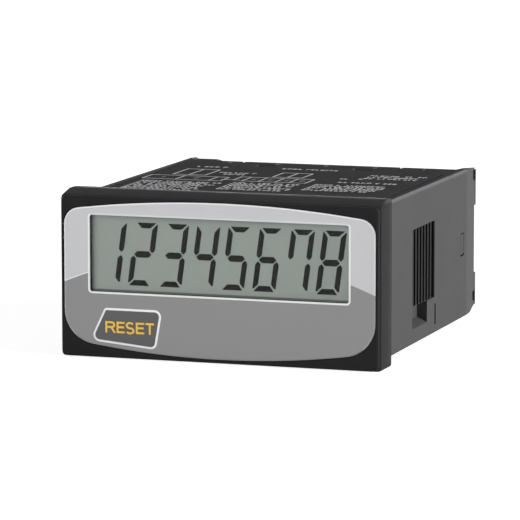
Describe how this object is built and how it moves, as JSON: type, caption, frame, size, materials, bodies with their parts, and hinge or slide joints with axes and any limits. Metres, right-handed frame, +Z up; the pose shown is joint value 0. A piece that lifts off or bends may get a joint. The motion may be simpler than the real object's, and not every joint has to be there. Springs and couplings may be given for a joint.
{
  "type": "panel counter",
  "caption": "Small rectangular panel counter with a liquid crystal display and a reset key in a bowed front, a boxy case with ratchet sides, and screw terminals at the rear.",
  "frame": {"origin": "bottom centre of the bounding box: under the middle of the counter's length, on the plane of the bezel's lower edge", "axes": "+X to the right as the front is read, +Y back into the panel, +Z up"},
  "size_m": [0.048, 0.0556, 0.024],
  "materials": {
    "bezel_plastic": "fine satin moulding, near black",
    "printed_film": "printed film, light grey above and darker grey below",
    "clear_pane": "clear flat pane",
    "lcd_glass": "greenish grey reflective display glass",
    "strip_rubber": "matt elastomer",
    "holder_plastic": "white moulding",
    "board_laminate": "green solder-resist",
    "plunger_plastic": "natural moulding",
    "stem_plastic": "satin moulding",
    "switch_plastic": "satin moulding",
    "chip_epoxy": "matt moulding compound",
    "header_plastic": "satin moulding",
    "case_plastic": "fine satin moulding, mid grey",
    "terminal_plastic": "satin moulding, dark grey",
    "terminal_brass": "plated strip",
    "clamp_steel": "plated strip",
    "screw_steel": "bright plated",
    "cell_sleeve": "shrink sleeve",
    "cell_tab_nickel": "nickel strip",
    "isolator_epoxy": "matt moulding compound",
    "capacitor_sleeve": "shrink sleeve",
    "can_metal": "drawn can"
  },
  "bodies": {
    "counter": {"battery_cell": "cell_sleeve", "board_header": "header_plastic", "body_case": "case_plastic", "cell_tab_front": "cell_tab_nickel", "cell_tab_rear": "cell_tab_nickel", "contact_strip_bottom": "strip_rubber", "contact_strip_top": "strip_rubber", "counter_chip": "chip_epoxy", "crystal_can": "can_metal", "display_board": "board_laminate", "display_window": "clear_pane", "front_bezel": "bezel_plastic", "front_overlay": "printed_film", "input_isolator": "isolator_epoxy", "lcd_holder": "holder_plastic", "lcd_panel": "lcd_glass", "main_board": "board_laminate", "reset_switch": "switch_plastic", "smoothing_capacitor": "capacitor_sleeve", "terminal_block": "terminal_plastic", "terminal_board": "board_laminate", "terminal_clamp_1": "clamp_steel", "terminal_clamp_10": "clamp_steel", "terminal_clamp_2": "clamp_steel", "terminal_clamp_3": "clamp_steel", "terminal_clamp_4": "clamp_steel", "terminal_clamp_5": "clamp_steel", "terminal_clamp_6": "clamp_steel", "terminal_clamp_7": "clamp_steel", "terminal_clamp_8": "clamp_steel", "terminal_clamp_9": "clamp_steel", "terminal_contact_1": "terminal_brass", "terminal_contact_10": "terminal_brass", "terminal_contact_2": "terminal_brass", "terminal_contact_3": "terminal_brass", "terminal_contact_4": "terminal_brass", "terminal_contact_5": "terminal_brass", "terminal_contact_6": "terminal_brass", "terminal_contact_7": "terminal_brass", "terminal_contact_8": "terminal_brass", "terminal_contact_9": "terminal_brass", "terminal_screw_1": "screw_steel", "terminal_screw_10": "screw_steel", "terminal_screw_2": "screw_steel", "terminal_screw_3": "screw_steel", "terminal_screw_4": "screw_steel", "terminal_screw_5": "screw_steel", "terminal_screw_6": "screw_steel", "terminal_screw_7": "screw_steel", "terminal_screw_8": "screw_steel", "terminal_screw_9": "screw_steel"},
    "reset_key": {"reset_plunger": "plunger_plastic", "switch_stem": "stem_plastic"}
  },
  "joints": [
    {"name": "reset_key_slide", "type": "slide", "parent": "counter", "child": "reset_key", "axis": [0, 1, 0], "range_m": [0, 0.00025], "stiffness_N_per_m": 600, "springref_m": -0.0005}
  ]
}
